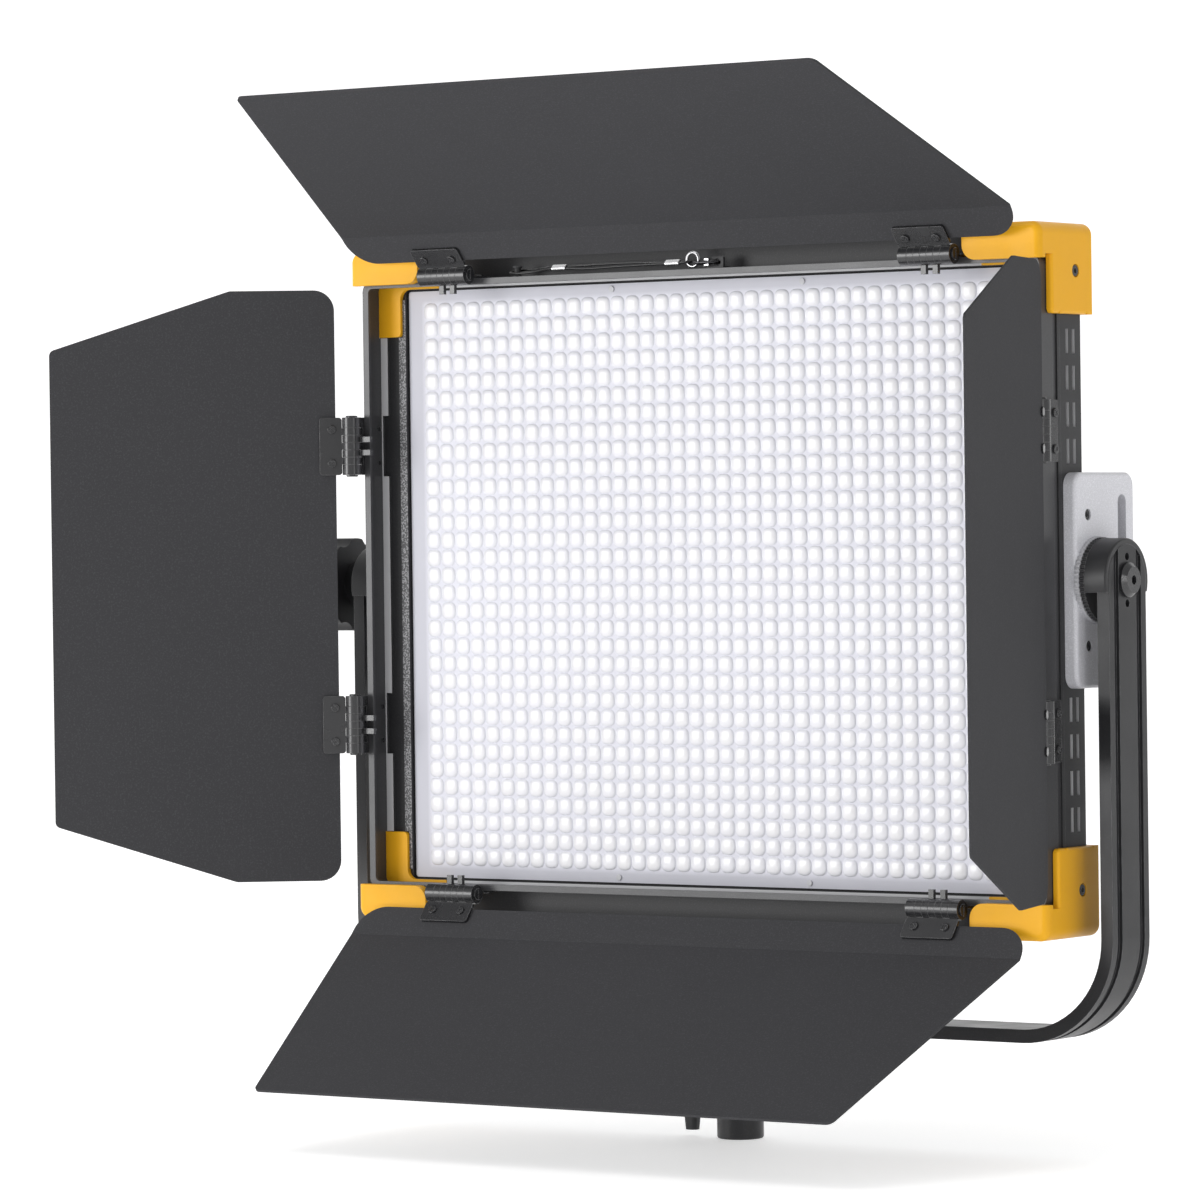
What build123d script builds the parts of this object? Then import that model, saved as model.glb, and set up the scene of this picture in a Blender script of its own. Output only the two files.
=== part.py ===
from build123d import *
from math import cos, pi, radians, sin, tan
import os

# LED panel light on a yoke. Millimetres. +X is to the right as seen from the front, the light
# shines along -Y, and +Z is up. The origin is the mouth of the stand socket under the yoke, and
# the tilt axis runs along X at y = 0.

# ---- yoke -------------------------------------------------------------------------------------
TILT_Z = 339.0          # height of the tilt axis above the stand socket's mouth
YOKE_X = 277.0          # outer face of each arm
YOKE_T = 8.0            # thickness of the bar
YOKE_W = 42.0           # width of the bar, front to back
YOKE_BASE = 68.2        # underside of the bottom bar
YOKE_BEND = 62.0        # outer radius of the two bends
GROOVE_W, GROOVE_D, GROOVE_Y = 5.6, 2.0, 12.8
RECEIVER_R, SOCKET_R, SOCKET_DEPTH = 14.3, 8.05, 45.0
CLAMP_Z = 29.0          # height of the clamp screw above the mouth
PIVOT_R = 5.0           # tilt bolt and lock screw
CAP_R = 24.5            # end cap over each arm's top
ROSETTE_R = 25.0
KNOB_R = 29.5           # tilt lock knob

# ---- head -------------------------------------------------------------------------------------
LENS_Y = -25.8          # front face of the lens panel
LENS_W, LENS_H = 452.4, 367.0
BEZEL_W, BEZEL_H = 454.0, 369.2  # opening round the lens panel
BODY_W, BODY_H = 496.0, 409.0
BODY_BACK = LENS_Y + 26.0
GUARD_W, GUARD_H = 504.0, 417.0
GUARD_FRONT = LENS_Y - 26.8
GUARD_BACK = LENS_Y + 33.4
GUARD_X, GUARD_LEG_Z, GUARD_ARM_Z = 252.0, 155.3, 187.3    # reach of a guard from the tilt axis
GUARD_ARM_X, LEDGE_X, LEDGE_Z = 199.0, 229.3, 184.9
FRAME_W, FRAME_H = 495.0, 378.8
FRAME_T = 1.5
FRAME_FRONT = LENS_Y - 20.0
BEZEL_FACE = LENS_Y - 2.0
LEDGE_FACE = LENS_Y - 5.0       # the corner guards' ledges, where the door frame stops short
PLATE_T = 8.2           # light side plates
PLATE_FRONT, PLATE_BACK, PLATE_H = -22.8, 44.8, 126.0
HOUSING_BACK, HOUSING_H = 42.2, 116.0
SIDE_X = BODY_W / 2
PLATE_X = SIDE_X + PLATE_T

# ---- barn doors -------------------------------------------------------------------------------
SIDE_OFF, END_OFF = 4.2, 1.9    # hinge axis outside the frame's wall: side doors, top and bottom doors
HINGE_Y = LENS_Y - 27.5
HINGE_L, BARREL_R, PIN_R = 36.0, 6.0, 1.95
KNUCKLES = [6.5, 4.6, 4.6, 4.6, 4.6, 4.6, 6.5]
KNUCKLE_GAP = 0.1
HINGE_NEAR = 6.15       # a hinge plate's near edge, just clear of the barrels
HINGE_PLATE_T = 2.0     # the door's half, and below it the frame's
FRAME_PLATE_T = 1.5
SHEET_T = 1.5
ROOT = 10.0             # hinge axis to the sheet's edge
SCREW_Z, FRAME_SCREW_Y = 10.6, 20.5
SIDE_SPREAD, ENDS_SPREAD = 87.2, 176.5   # hinge centres on the side and on the top and bottom doors
SIDE_ROOT_H, SIDE_TIP_H, SIDE_L, SIDE_STRIP = 370.2, 297.0, 178.3, 65.4
END_ROOT_W, END_TIP_W, END_FLANGE, END_L, END_FOLD = 487.0, 414.0, 21.0, 167.0, 22.3
# rest angle of each door, from flat outwards towards the front
OPEN_LEFT, OPEN_RIGHT, OPEN_TOP, OPEN_BOTTOM = 39.2, 72.2, 40.0, 37.7

PARTS = {}


# ---- plain shapes -----------------------------------------------------------------------------
def block(x0, x1, y0, y1, z0, z1):
    return Pos((x0 + x1) / 2, (y0 + y1) / 2, (z0 + z1) / 2) * Box(x1 - x0, y1 - y0, z1 - z0)


def frame_block(width, height, y0, y1, z=TILT_Z):
    """A block centred on the tilt axis, as seen from the front."""
    return block(-width / 2, width / 2, y0, y1, z - height / 2, z + height / 2)


def cyl_x(x0, x1, y, z, r):
    return Pos((x0 + x1) / 2, y, z) * Rot(0, 90, 0) * Cylinder(r, x1 - x0)


def cyl_y(y0, y1, x, z, r):
    return Pos(x, (y0 + y1) / 2, z) * Rot(90, 0, 0) * Cylinder(r, y1 - y0)


def cyl_z(z0, z1, x, y, r):
    return Pos(x, y, (z0 + z1) / 2) * Cylinder(r, z1 - z0)


def rounded(solid, axis, r):
    """Rounds the edges that run along an axis."""
    return fillet(solid.edges().filter_by(axis), r)


def ring(outer_w, outer_h, inner_w, inner_h, y0, y1, r_out, r_in):
    outer = rounded(frame_block(outer_w, outer_h, y0, y1), Axis.Y, r_out)
    inner = rounded(frame_block(inner_w, inner_h, y0 - 1, y1 + 1), Axis.Y, r_in)
    return outer - inner


def mirrored_pair(solid):
    """The solid on the right and its mirror image on the left."""
    return solid, mirror(solid, about=Plane.YZ)


# ---- yoke -------------------------------------------------------------------------------------
def yoke_band(outer_x, inner_x, base, bend, y0, y1):
    """A U seen from the front, between two offsets of the bar's outline."""
    top = TILT_Z + 60
    t = outer_x - inner_x
    outer = rounded(block(-outer_x, outer_x, y0, y1, base, top + bend), Axis.Y, bend)
    inner = rounded(block(-inner_x, inner_x, y0 - 1, y1 + 1, base + t, top + bend + 9), Axis.Y, bend - t)
    return (outer - inner) & block(-outer_x, outer_x, y0, y1, base, TILT_Z + YOKE_W / 2)


def make_yoke_bracket():
    half = YOKE_W / 2
    bar = yoke_band(YOKE_X, YOKE_X - YOKE_T, YOKE_BASE, YOKE_BEND, -half, half)
    above = block(-YOKE_X, YOKE_X, -half, half, TILT_Z, TILT_Z + half)
    bar -= above - cyl_x(-YOKE_X - 1, YOKE_X + 1, 0, TILT_Z, half)
    for y in (-GROOVE_Y, GROOVE_Y):
        y0, y1 = y - GROOVE_W / 2, y + GROOVE_W / 2
        bar -= yoke_band(YOKE_X, YOKE_X - GROOVE_D, YOKE_BASE, YOKE_BEND, y0, y1)
    bar -= cyl_x(-YOKE_X - 1, YOKE_X + 1, 0, TILT_Z, PIVOT_R + 0.05)
    for z in (-13.6, 13.6):
        bar -= cyl_x(-YOKE_X - 1, YOKE_X + 1, 0, TILT_Z + z, 2.4)
    return bar - cyl_z(YOKE_BASE - 1, YOKE_BASE + 20, 0, 0, 5.0)


def make_arm_caps():
    """Half-round caps that hold the rosettes and hood the arms' tops."""
    disc = cyl_x(262.2, YOKE_X - 0.2, 0, TILT_Z, CAP_R)
    cap = disc & block(255, 280, -30, 30, TILT_Z - 7, TILT_Z + 30)
    cap = fillet(cap.edges().filter_by(GeomType.CIRCLE).sort_by(Axis.X)[-1], 1.0)
    half = YOKE_W / 2
    arm = block(YOKE_X - YOKE_T, 280, -half, half, TILT_Z - 10, TILT_Z)
    arm += cyl_x(YOKE_X - YOKE_T, 280, 0, TILT_Z, half)
    cap -= arm
    return mirrored_pair(cap - cyl_x(255, 280, 0, TILT_Z, PIVOT_R + 0.05))


def toothed_disc(x0, x1, r, bore, teeth=60, depth=0.9):
    """A disc with fine serrations round its rim."""
    points = []
    for i in range(2 * teeth):
        a = pi * i / teeth
        ri = r if i % 2 else r - depth
        points.append((ri * cos(a), ri * sin(a)))
    outline = make_face(Polyline(*points, close=True))
    disc = Pos(x0, 0, TILT_Z) * Rot(0, 90, 0) * extrude(outline, x1 - x0)
    return disc - cyl_x(x0 - 1, x1 + 1, 0, TILT_Z, bore)


def make_receiver():
    body = cyl_z(0, YOKE_BASE, 0, 0, RECEIVER_R)
    body = fillet(body.edges().filter_by(GeomType.CIRCLE).sort_by(Axis.Z)[0], 1.5)
    body += fillet(cyl_z(YOKE_BASE - 6, YOKE_BASE, 0, 0, 19.5).edges().sort_by(Axis.Z)[0], 1.2)
    body -= cyl_z(-1, SOCKET_DEPTH, 0, 0, SOCKET_R)
    body -= cyl_z(SOCKET_DEPTH + 5, YOKE_BASE + 1, 0, 0, 4.2)
    boss = cyl_x(-19.5, -10, 0, CLAMP_Z, 8.0) - cyl_z(-1, 60, 0, 0, RECEIVER_R - 1)
    return (body + boss) - cyl_x(-25, -5, 0, CLAMP_Z, 4.05)


def make_receiver_bolt():
    top = YOKE_BASE + YOKE_T
    head = chamfer(cyl_z(top, top + 6, 0, 0, 8.0).edges().sort_by(Axis.Z)[-1], 0.8)
    head -= extrude(Pos(0, 0, top + 2.5) * RegularPolygon(4.0, 6), 5)
    return head + cyl_z(SOCKET_DEPTH + 6, top, 0, 0, 4.15)


def make_clamp_screw():
    return chamfer(cyl_x(-33, -8.5, 0, CLAMP_Z, 4.0).edges().sort_by(Axis.X)[-1], 0.8)


def make_clamp_knob():
    """A tee handle whose two wings taper to their tips."""
    wing = Plane(origin=(-35.5, 0, CLAMP_Z), z_dir=(0, 0, -1))
    half = loft([wing * RectangleRounded(11, 11, 3), wing.offset(25.5) * RectangleRounded(8, 7, 2.8)])
    tee = half + mirror(half, about=Plane.XY.offset(CLAMP_Z))
    tee += cyl_x(-41.5, -22.5, 0, CLAMP_Z, 7.0)
    return tee - cyl_x(-33, -20, 0, CLAMP_Z, 4.0)


def make_lock_screw():
    return cyl_x(-292, -SIDE_X - 0.2, 0, TILT_Z, PIVOT_R)


def make_tilt_knob():
    """A round knob with eight finger lobes, on a hub that bears on the left arm."""
    face = Plane(origin=(-290, 0, TILT_Z), z_dir=(-1, 0, 0))
    disc = extrude(face * Circle(KNOB_R), 22)
    disc = chamfer(disc.edges().filter_by(GeomType.CIRCLE).sort_by(Axis.X)[0], 5.0)
    disc = fillet(disc.edges().filter_by(GeomType.CIRCLE).sort_by(Axis.X)[-1], 1.0)
    for i in range(8):
        a = 2 * pi * (i + 0.5) / 8
        y, z = 35.5 * cos(a), 35.5 * sin(a)
        disc -= cyl_x(-314, -289, y, TILT_Z + z, 9.0)
    hub = cyl_x(-290, -YOKE_X - 0.3, 0, TILT_Z, 14.0)
    return disc + hub - cyl_x(-292, -270, 0, TILT_Z, PIVOT_R)


def make_pivot_bolt():
    head = cyl_x(YOKE_X + 0.3, YOKE_X + 4.6, 0, TILT_Z, 10.3)
    head = chamfer(head.edges().filter_by(GeomType.CIRCLE).sort_by(Axis.X)[-1], 2.6)
    socket = Plane(origin=(YOKE_X + 1.6, 0, TILT_Z), z_dir=(1, 0, 0)) * RegularPolygon(3.0, 6)
    return head - extrude(socket, 5) + cyl_x(SIDE_X + 0.2, YOKE_X + 0.3, 0, TILT_Z, PIVOT_R)


# ---- head -------------------------------------------------------------------------------------
def make_body_rim():
    front = LENS_Y + 1.0
    rim = ring(BODY_W, BODY_H, BODY_W - 6, BODY_H - 6, front, BODY_BACK, 6, 3)
    back_edges = rim.faces().sort_by(Axis.Y)[-1].outer_wire().edges()
    rim = fillet(back_edges, 2.2)
    slots = []
    for side in (-1, 1):
        for row in range(4):
            for up in (-1, 1):
                z = TILT_Z + up * (75.4 + 21.4 * row)
                for y in (LENS_Y + 8.9, LENS_Y + 16.2):
                    slots.append(Pos(side * (SIDE_X - 1.5), y, z) * Box(6, 2.8, 14.2))
    for side in (-1, 1):
        for up in (-1, 1):
            slots.append(cyl_x(side * SIDE_X - 5, side * SIDE_X + 5, -12.5, TILT_Z + up * 180.5, 2.05))
        for z in (-38.3, 38.3):
            slots.append(cyl_x(side * SIDE_X - 5, side * SIDE_X + 5, -8.8, TILT_Z + z, 2.05))
    return rim - slots


def make_front_bezel():
    base = ring(BODY_W, BODY_H, BEZEL_W, BEZEL_H, BEZEL_FACE, LENS_Y + 1.0, 6, 2)
    inner, front = BEZEL_W / 2, BEZEL_FACE - 1.0
    lip = block(inner, 232.3, front, BEZEL_FACE, TILT_Z - GUARD_LEG_Z + 0.3, TILT_Z + GUARD_LEG_Z - 0.3)
    lip += block(inner, LEDGE_X - 0.1, front, BEZEL_FACE, TILT_Z - 178.5, TILT_Z + 178.5)
    return base + list(mirrored_pair(lip))


def make_rear_cover():
    cover = rounded(frame_block(BODY_W - 6.2, BODY_H - 6.2, BODY_BACK - 2.0, BODY_BACK), Axis.Y, 3)
    vents = []
    for up in (-1, 1):
        for row in range(7):
            for col in range(7):
                x, z = (col - 3) * 62, TILT_Z + up * (84 + 15 * row)
                vents.append(Pos(x, BODY_BACK, z) * Box(46, 8, 4.5))
    return cover - vents


def make_heat_sink():
    y = LENS_Y + 9.6
    sink = frame_block(476, 390, y, y + 3)
    fins = [block(x - 1, x + 1, y + 3, y + 12, TILT_Z - 195, TILT_Z + 195) for x in range(-230, 231, 20)]
    return sink + fins


def make_panel_screws():
    """Small screws in the lens panel's border: two above and two below the lenses."""
    screws = []
    for x in (-70, 70):
        for z in (-180.2, 180.2):
            head = cyl_y(LENS_Y - 0.7, LENS_Y, x, TILT_Z + z, 1.9)
            screws.append(head + cyl_y(LENS_Y, LENS_Y + 7.5, x, TILT_Z + z, 1.0))
    return screws


def edges_along_y(solid, x, z):
    """The edges that run front to back at a given x and height above the tilt axis."""
    found = []
    for edge in solid.edges().filter_by(Axis.Y):
        if abs(edge.center().X - x) < 0.1 and abs(edge.center().Z - TILT_Z - z) < 0.1:
            found.append(edge)
    return found


def make_guard(side, up):
    """A moulded corner guard: a front arm over the door frame, a leg down the side and a back lip."""
    outer = rounded(frame_block(GUARD_W, GUARD_H, GUARD_FRONT, GUARD_BACK), Axis.Y, 7.0)
    outer = fillet(outer.faces().sort_by(Axis.Y)[0].edges(), 4.0)
    outer = fillet(outer.faces().sort_by(Axis.Y)[-1].edges(), 2.5)
    corner_z = TILT_Z + GUARD_H / 2
    body_z = TILT_Z + BODY_H / 2
    leg_z = TILT_Z + GUARD_LEG_Z
    frame_front = FRAME_FRONT - 0.3
    arm = block(GUARD_ARM_X, GUARD_X, GUARD_FRONT, frame_front, TILT_Z + GUARD_ARM_Z, corner_z)
    arm = fillet(edges_along_y(arm, GUARD_ARM_X, GUARD_ARM_Z), 9)
    above_frame = FRAME_H / 2 + 0.3
    arm_back = block(GUARD_ARM_X, GUARD_X, frame_front, BEZEL_FACE, TILT_Z + above_frame, corner_z)
    arm += fillet(edges_along_y(arm_back, GUARD_ARM_X, above_frame), 7)
    top = block(GUARD_ARM_X, GUARD_X, BEZEL_FACE, GUARD_BACK, body_z, corner_z)
    leg = block(SIDE_X, GUARD_X, LENS_Y - 13.4, GUARD_BACK, leg_z, corner_z)
    leg = fillet(leg.edges().filter_by(Axis.X).group_by(Axis.Z)[0], 3)
    leg = fillet(leg.edges().filter_by(Axis.Z).group_by(Axis.X)[-1].sort_by(Axis.Y)[0], 1.8)
    ledge = block(LEDGE_X, GUARD_X, LEDGE_FACE, BEZEL_FACE, leg_z, corner_z)
    ledge += block(GUARD_ARM_X, GUARD_X, LEDGE_FACE, BEZEL_FACE, TILT_Z + LEDGE_Z, corner_z)
    ledge = fillet(edges_along_y(ledge, LEDGE_X, GUARD_LEG_Z), 3)
    ledge = fillet(edges_along_y(ledge, LEDGE_X, LEDGE_Z), 6)
    lip = block(234, GUARD_X, BODY_BACK, GUARD_BACK, leg_z, corner_z)
    lip += block(214, GUARD_X, BODY_BACK, GUARD_BACK, TILT_Z + 190, corner_z)
    guard = (arm + top + leg + ledge + lip) & outer
    guard -= cyl_x(SIDE_X - 1, 254, -12.5, TILT_Z + 180.5, 2.1)
    guard -= cyl_x(250.0, 254, -12.5, TILT_Z + 180.5, 3.9)
    if up < 0:
        guard = mirror(guard, about=Plane.XY.offset(TILT_Z))
    if side < 0:
        guard = mirror(guard, about=Plane.YZ)
    return guard


def socket_screw(x0, x1, y, z, head_r, shank_r, length):
    """A cap screw along X: its head from x0 to x1 with the hexagon at x1, its shank towards x0."""
    out = 1 if x1 > x0 else -1
    head = cyl_x(min(x0, x1), max(x0, x1), y, z, head_r)
    recess = Plane(origin=(x1 - out * 1.1, y, z), z_dir=(out, 0, 0)) * RegularPolygon(head_r * 0.5, 6)
    shank = cyl_x(min(x0, x0 - out * length), max(x0, x0 - out * length), y, z, shank_r)
    return head - extrude(recess, 3) + shank


def make_side_plate(side):
    plate = block(SIDE_X, PLATE_X, PLATE_FRONT, PLATE_BACK, TILT_Z - PLATE_H / 2, TILT_Z + PLATE_H / 2)
    plate = rounded(plate, Axis.X, 8)
    outer_face = plate.faces().sort_by(Axis.X)[-1]
    plate = fillet(outer_face.edges(), 2.5)
    slot = block(SIDE_X - 1, PLATE_X + 1, 25.3, 34.7, TILT_Z - 50, TILT_Z + 50)
    plate -= rounded(slot, Axis.X, 4.5)
    for z in (-38.3, 38.3):
        plate -= cyl_x(SIDE_X - 1, 260, -8.8, TILT_Z + z, 2.05)
        plate -= cyl_x(PLATE_X - 2.6, 260, -8.8, TILT_Z + z, 3.4)
    plate -= cyl_x(SIDE_X - 1, 260, 0, TILT_Z, PIVOT_R + (0.05 if side < 0 else 0.0))
    return plate if side > 0 else mirror(plate, about=Plane.YZ)


def make_side_screws():
    """Identical cap screws in the corner guards and the side plates."""
    screws = []
    for side in (-1, 1):
        for z in (-180.5, 180.5):
            screws.append(socket_screw(side * 250.05, side * 251.7, -12.5, TILT_Z + z, 3.2, 2.0, 9))
        for z in (-38.3, 38.3):
            head = side * (PLATE_X - 2.55)
            screws.append(socket_screw(head, head + side * 1.65, -8.8, TILT_Z + z, 3.2, 2.0, 9))
    return screws


def make_door_frame():
    """The sheet-metal frame that carries the barn doors: a wall, a front hem and a back flange."""
    in_w, in_h = FRAME_W - 2 * FRAME_T, FRAME_H - 2 * FRAME_T
    wall = ring(FRAME_W, FRAME_H, in_w, in_h, FRAME_FRONT, BEZEL_FACE, 6, 4.5)
    step = LENS_Y - 6.5
    outside = frame_block(FRAME_W + 9, FRAME_H + 9, step, BEZEL_FACE + 1)
    wall -= outside - rounded(frame_block(FRAME_W - 1.0, FRAME_H - 1.0, step, BEZEL_FACE + 1), Axis.Y, 5.5)
    hem = ring(in_w, in_h, FRAME_W - 8.8, FRAME_H - 7.8, FRAME_FRONT, FRAME_FRONT + 2, 4.5, 3)
    flange = ring(in_w, in_h, FRAME_W - 13.4, FRAME_H - 9.0, BEZEL_FACE - 1.8, BEZEL_FACE, 4.5, 3)
    behind_hinge = BEZEL_FACE - 1 - HINGE_Y
    for _, place, offsets, _ in SIDES.values():
        flange -= [place(s) * Pos(-12.6, behind_hinge, 0) * Box(12, 4, HINGE_L + 2) for s in offsets]
    frame = wall + hem + flange
    low, high = GUARD_LEG_Z - 0.3, FRAME_H / 2 + 1
    for up in (-1, 1):
        z0, z1 = sorted((TILT_Z + up * low, TILT_Z + up * high))
        frame -= [block(-250, -GUARD_ARM_X + 0.3, LEDGE_FACE - 0.3, BEZEL_FACE + 1, z0, z1)]
        frame -= [block(GUARD_ARM_X - 0.3, 250, LEDGE_FACE - 0.3, BEZEL_FACE + 1, z0, z1)]
    holes = []
    for off, place, offsets, _ in SIDES.values():
        for s in offsets:
            for z in (-SCREW_Z, SCREW_Z):
                holes.append(place(s) * Pos(-off - 1, FRAME_SCREW_Y, z) * Rot(0, 90, 0) * Cylinder(1.55, 4))
    return frame - holes


# ---- hinges and doors -------------------------------------------------------------------------
# Each hinge and door is drawn once: the hinge axis along local Z, local +X outwards from the
# frame, local +Y to the back. A place puts it on one side of the frame, s along that side.
def right_place(s):
    origin = (FRAME_W / 2 + SIDE_OFF, HINGE_Y, TILT_Z + s)
    return Location(Plane(origin=origin, x_dir=(1, 0, 0), z_dir=(0, 0, 1)))


def left_place(s):
    origin = (-FRAME_W / 2 - SIDE_OFF, HINGE_Y, TILT_Z + s)
    return Location(Plane(origin=origin, x_dir=(-1, 0, 0), z_dir=(0, 0, -1)))


def top_place(s):
    origin = (s, HINGE_Y, TILT_Z + FRAME_H / 2 + END_OFF)
    return Location(Plane(origin=origin, x_dir=(0, 0, 1), z_dir=(-1, 0, 0)))


def bottom_place(s):
    origin = (s, HINGE_Y, TILT_Z - FRAME_H / 2 - END_OFF)
    return Location(Plane(origin=origin, x_dir=(0, 0, -1), z_dir=(1, 0, 0)))


# each door's hinge axis outside the frame's wall, its place, its hinges along the side, its angle
SIDES = {
    "left": (SIDE_OFF, left_place, (-SIDE_SPREAD, SIDE_SPREAD), OPEN_LEFT),
    "right": (SIDE_OFF, right_place, (-SIDE_SPREAD, SIDE_SPREAD), OPEN_RIGHT),
    "top": (END_OFF, top_place, (-ENDS_SPREAD, ENDS_SPREAD), OPEN_TOP),
    "bottom": (END_OFF, bottom_place, (-ENDS_SPREAD, ENDS_SPREAD), OPEN_BOTTOM),
}


def knuckle_spans():
    spans, z = [], -HINGE_L / 2
    for length in KNUCKLES:
        spans.append((z + KNUCKLE_GAP / 2, z + length - KNUCKLE_GAP / 2))
        z += length
    return spans


def hinge_half(numbers, reach, plate, bore):
    """Knuckles by number, each with a finger that joins it to the plate."""
    half = plate
    for k in numbers:
        z0, z1 = knuckle_spans()[k]
        half += cyl_z(z0, z1, 0, 0, BARREL_R) + reach(z0, z1)
    return half - cyl_z(-HINGE_L, HINGE_L, 0, 0, bore)


def frame_half(off):
    """The hinge half on the frame's wall, with two stop tabs towards the lens panel."""
    x0, x1 = -off, -off + FRAME_PLATE_T
    plate = rounded(block(x0, x1, HINGE_NEAR, 23.7, -HINGE_L / 2, HINGE_L / 2), Axis.X, 0.6)
    half = hinge_half((0, 2, 4, 6), lambda a, b: block(x0, x1, 0, 8.5, a, b), plate, PIN_R + 0.02)
    near, far = knuckle_spans()[4][0], knuckle_spans()[4][0] + 3.5
    for z0, z1 in ((near, far), (-far, -near)):
        half += block(-off - 9.4, -4, 1, 3.6, z0, z1)
    for z in (-SCREW_Z, SCREW_Z):
        half -= Pos(-off, FRAME_SCREW_Y, z) * Rot(0, 90, 0) * Cylinder(1.55, 8)
    return half


def door_half():
    y0, y1 = 0.1, 0.1 + HINGE_PLATE_T
    plate = rounded(block(HINGE_NEAR, 20.2, y0, y1, -HINGE_L / 2, HINGE_L / 2), Axis.Y, 2)
    half = hinge_half((1, 3, 5), lambda a, b: block(0, 8.5, y0, y1, a, b), plate, PIN_R + 0.07)
    for z in (-SCREW_Z, SCREW_Z):
        half -= Pos(12.5, 1, z) * Rot(90, 0, 0) * Cylinder(1.55, 8)
    return half


def hinge_pin():
    pin = cyl_z(-HINGE_L / 2 - 0.1, HINGE_L / 2 + 0.1, 0, 0, PIN_R)
    for z in (-1, 1):
        a, b = sorted((z * (HINGE_L / 2 + 0.1), z * (HINGE_L / 2 + 1.1)))
        head = cyl_z(a, b, 0, 0, 3.7)
        head = fillet(head.edges().sort_by(Axis.Z)[-1 if z > 0 else 0], 0.5)
        slot = Pos(0, 0, z * (HINGE_L / 2 + 1.1)) * Box(5.0, 0.8, 0.9)
        pin += head - slot
    return pin


def cross_screw(r, face, reach, nut):
    """A screw along -Y: its head on the face at y = face, its shank to y = reach, and a nut beyond."""
    head = fillet(cyl_y(face - 1.2, face, 0, 0, r).edges().sort_by(Axis.Y)[0], 0.5)
    for turn in (45, 135):
        head -= Pos(0, face - 1.2, 0) * Rot(0, turn, 0) * Box(r * 1.3, 1.0, 0.7)
    screw = head + cyl_y(face, reach, 0, 0, 1.5)
    if nut:
        screw += extrude(Plane(origin=(0, reach, 0), z_dir=(0, 1, 0)) * RegularPolygon(2.9, 6), nut)
    return screw


def door_screws():
    sheet_back = 0.1 + HINGE_PLATE_T + SHEET_T
    screw = cross_screw(2.8, 0.1, sheet_back, 1.4)
    return [Pos(12.5, 0, z) * screw for z in (-SCREW_Z, SCREW_Z)]


def frame_screws(off):
    """Screws through the hinge plate into the frame's wall, heads outwards."""
    face = off - FRAME_PLATE_T
    screw = Rot(0, 0, 90) * cross_screw(2.8, face, face + 3.4, 0)
    return [Pos(0, FRAME_SCREW_Y, z) * screw for z in (-SCREW_Z, SCREW_Z)]


def sheet(outline_points, thickness_from, radii_corners):
    """A flat sheet from local points (x, z), with its corners rounded."""
    face = make_face(Polyline(*outline_points, close=True))
    solid = extrude(face, SHEET_T)
    for (x, z), r in radii_corners:
        edges = [e for e in solid.edges().filter_by(Axis.Z)
                 if abs(e.center().X - x) < 0.5 and abs(e.center().Y - z) < 0.5]
        solid = fillet(edges, r)
    return Pos(0, thickness_from + SHEET_T, 0) * Rot(90, 0, 0) * solid


def screw_holes(sheet_solid, offsets):
    for s in offsets:
        for z in (-SCREW_Z, SCREW_Z):
            sheet_solid -= Pos(12.5, 3, s + z) * Rot(90, 0, 0) * Cylinder(1.55, 8)
    return sheet_solid


def side_door():
    h0, h1 = SIDE_ROOT_H / 2, SIDE_TIP_H / 2
    x0, x1, x2 = ROOT, ROOT + SIDE_STRIP, ROOT + SIDE_L
    points = [(x0, -h0), (x1, -h0), (x2, -h1), (x2, h1), (x1, h0), (x0, h0)]
    corners = [((x0, -h0), 13), ((x0, h0), 13), ((x2, -h1), 4), ((x2, h1), 4), ((x1, -h0), 6), ((x1, h0), 6)]
    back = 0.1 + HINGE_PLATE_T
    return screw_holes(sheet(points, back, corners), (-SIDE_SPREAD, SIDE_SPREAD))


def end_door():
    """A top or bottom door: a root flange, a fold towards the front, then the tapered blade."""
    w0, w1 = END_ROOT_W / 2, END_TIP_W / 2
    fold_x = ROOT + END_FLANGE
    back = 0.1 + HINGE_PLATE_T
    root = [(ROOT, -w0 + 1.5), (fold_x, -w0), (fold_x, w0), (ROOT, w0 - 1.5)]
    flange = sheet(root, back, [((ROOT, -w0 + 1.5), 19), ((ROOT, w0 - 1.5), 19)])
    flange = screw_holes(flange, (-ENDS_SPREAD, ENDS_SPREAD))
    tip = [(0, -w0), (END_L, -w1), (END_L, w1), (0, w0)]
    blade = sheet(tip, 0, [((END_L, -w1), 5), ((END_L, w1), 5)])
    return flange + Pos(fold_x, back, 0) * Rot(0, 0, -END_FOLD) * blade + fold_fillet(fold_x, back, w0)


def fold_fillet(x, y, half_width):
    """Fills the wedge that opens on the outer side of the fold."""
    a = radians(END_FOLD)
    p = [(x, y), (x, y + SHEET_T), (x + SHEET_T * sin(a), y + SHEET_T * cos(a))]
    wedge = extrude(make_face(Polyline(*p, close=True)), half_width, both=True)
    return wedge


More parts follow.
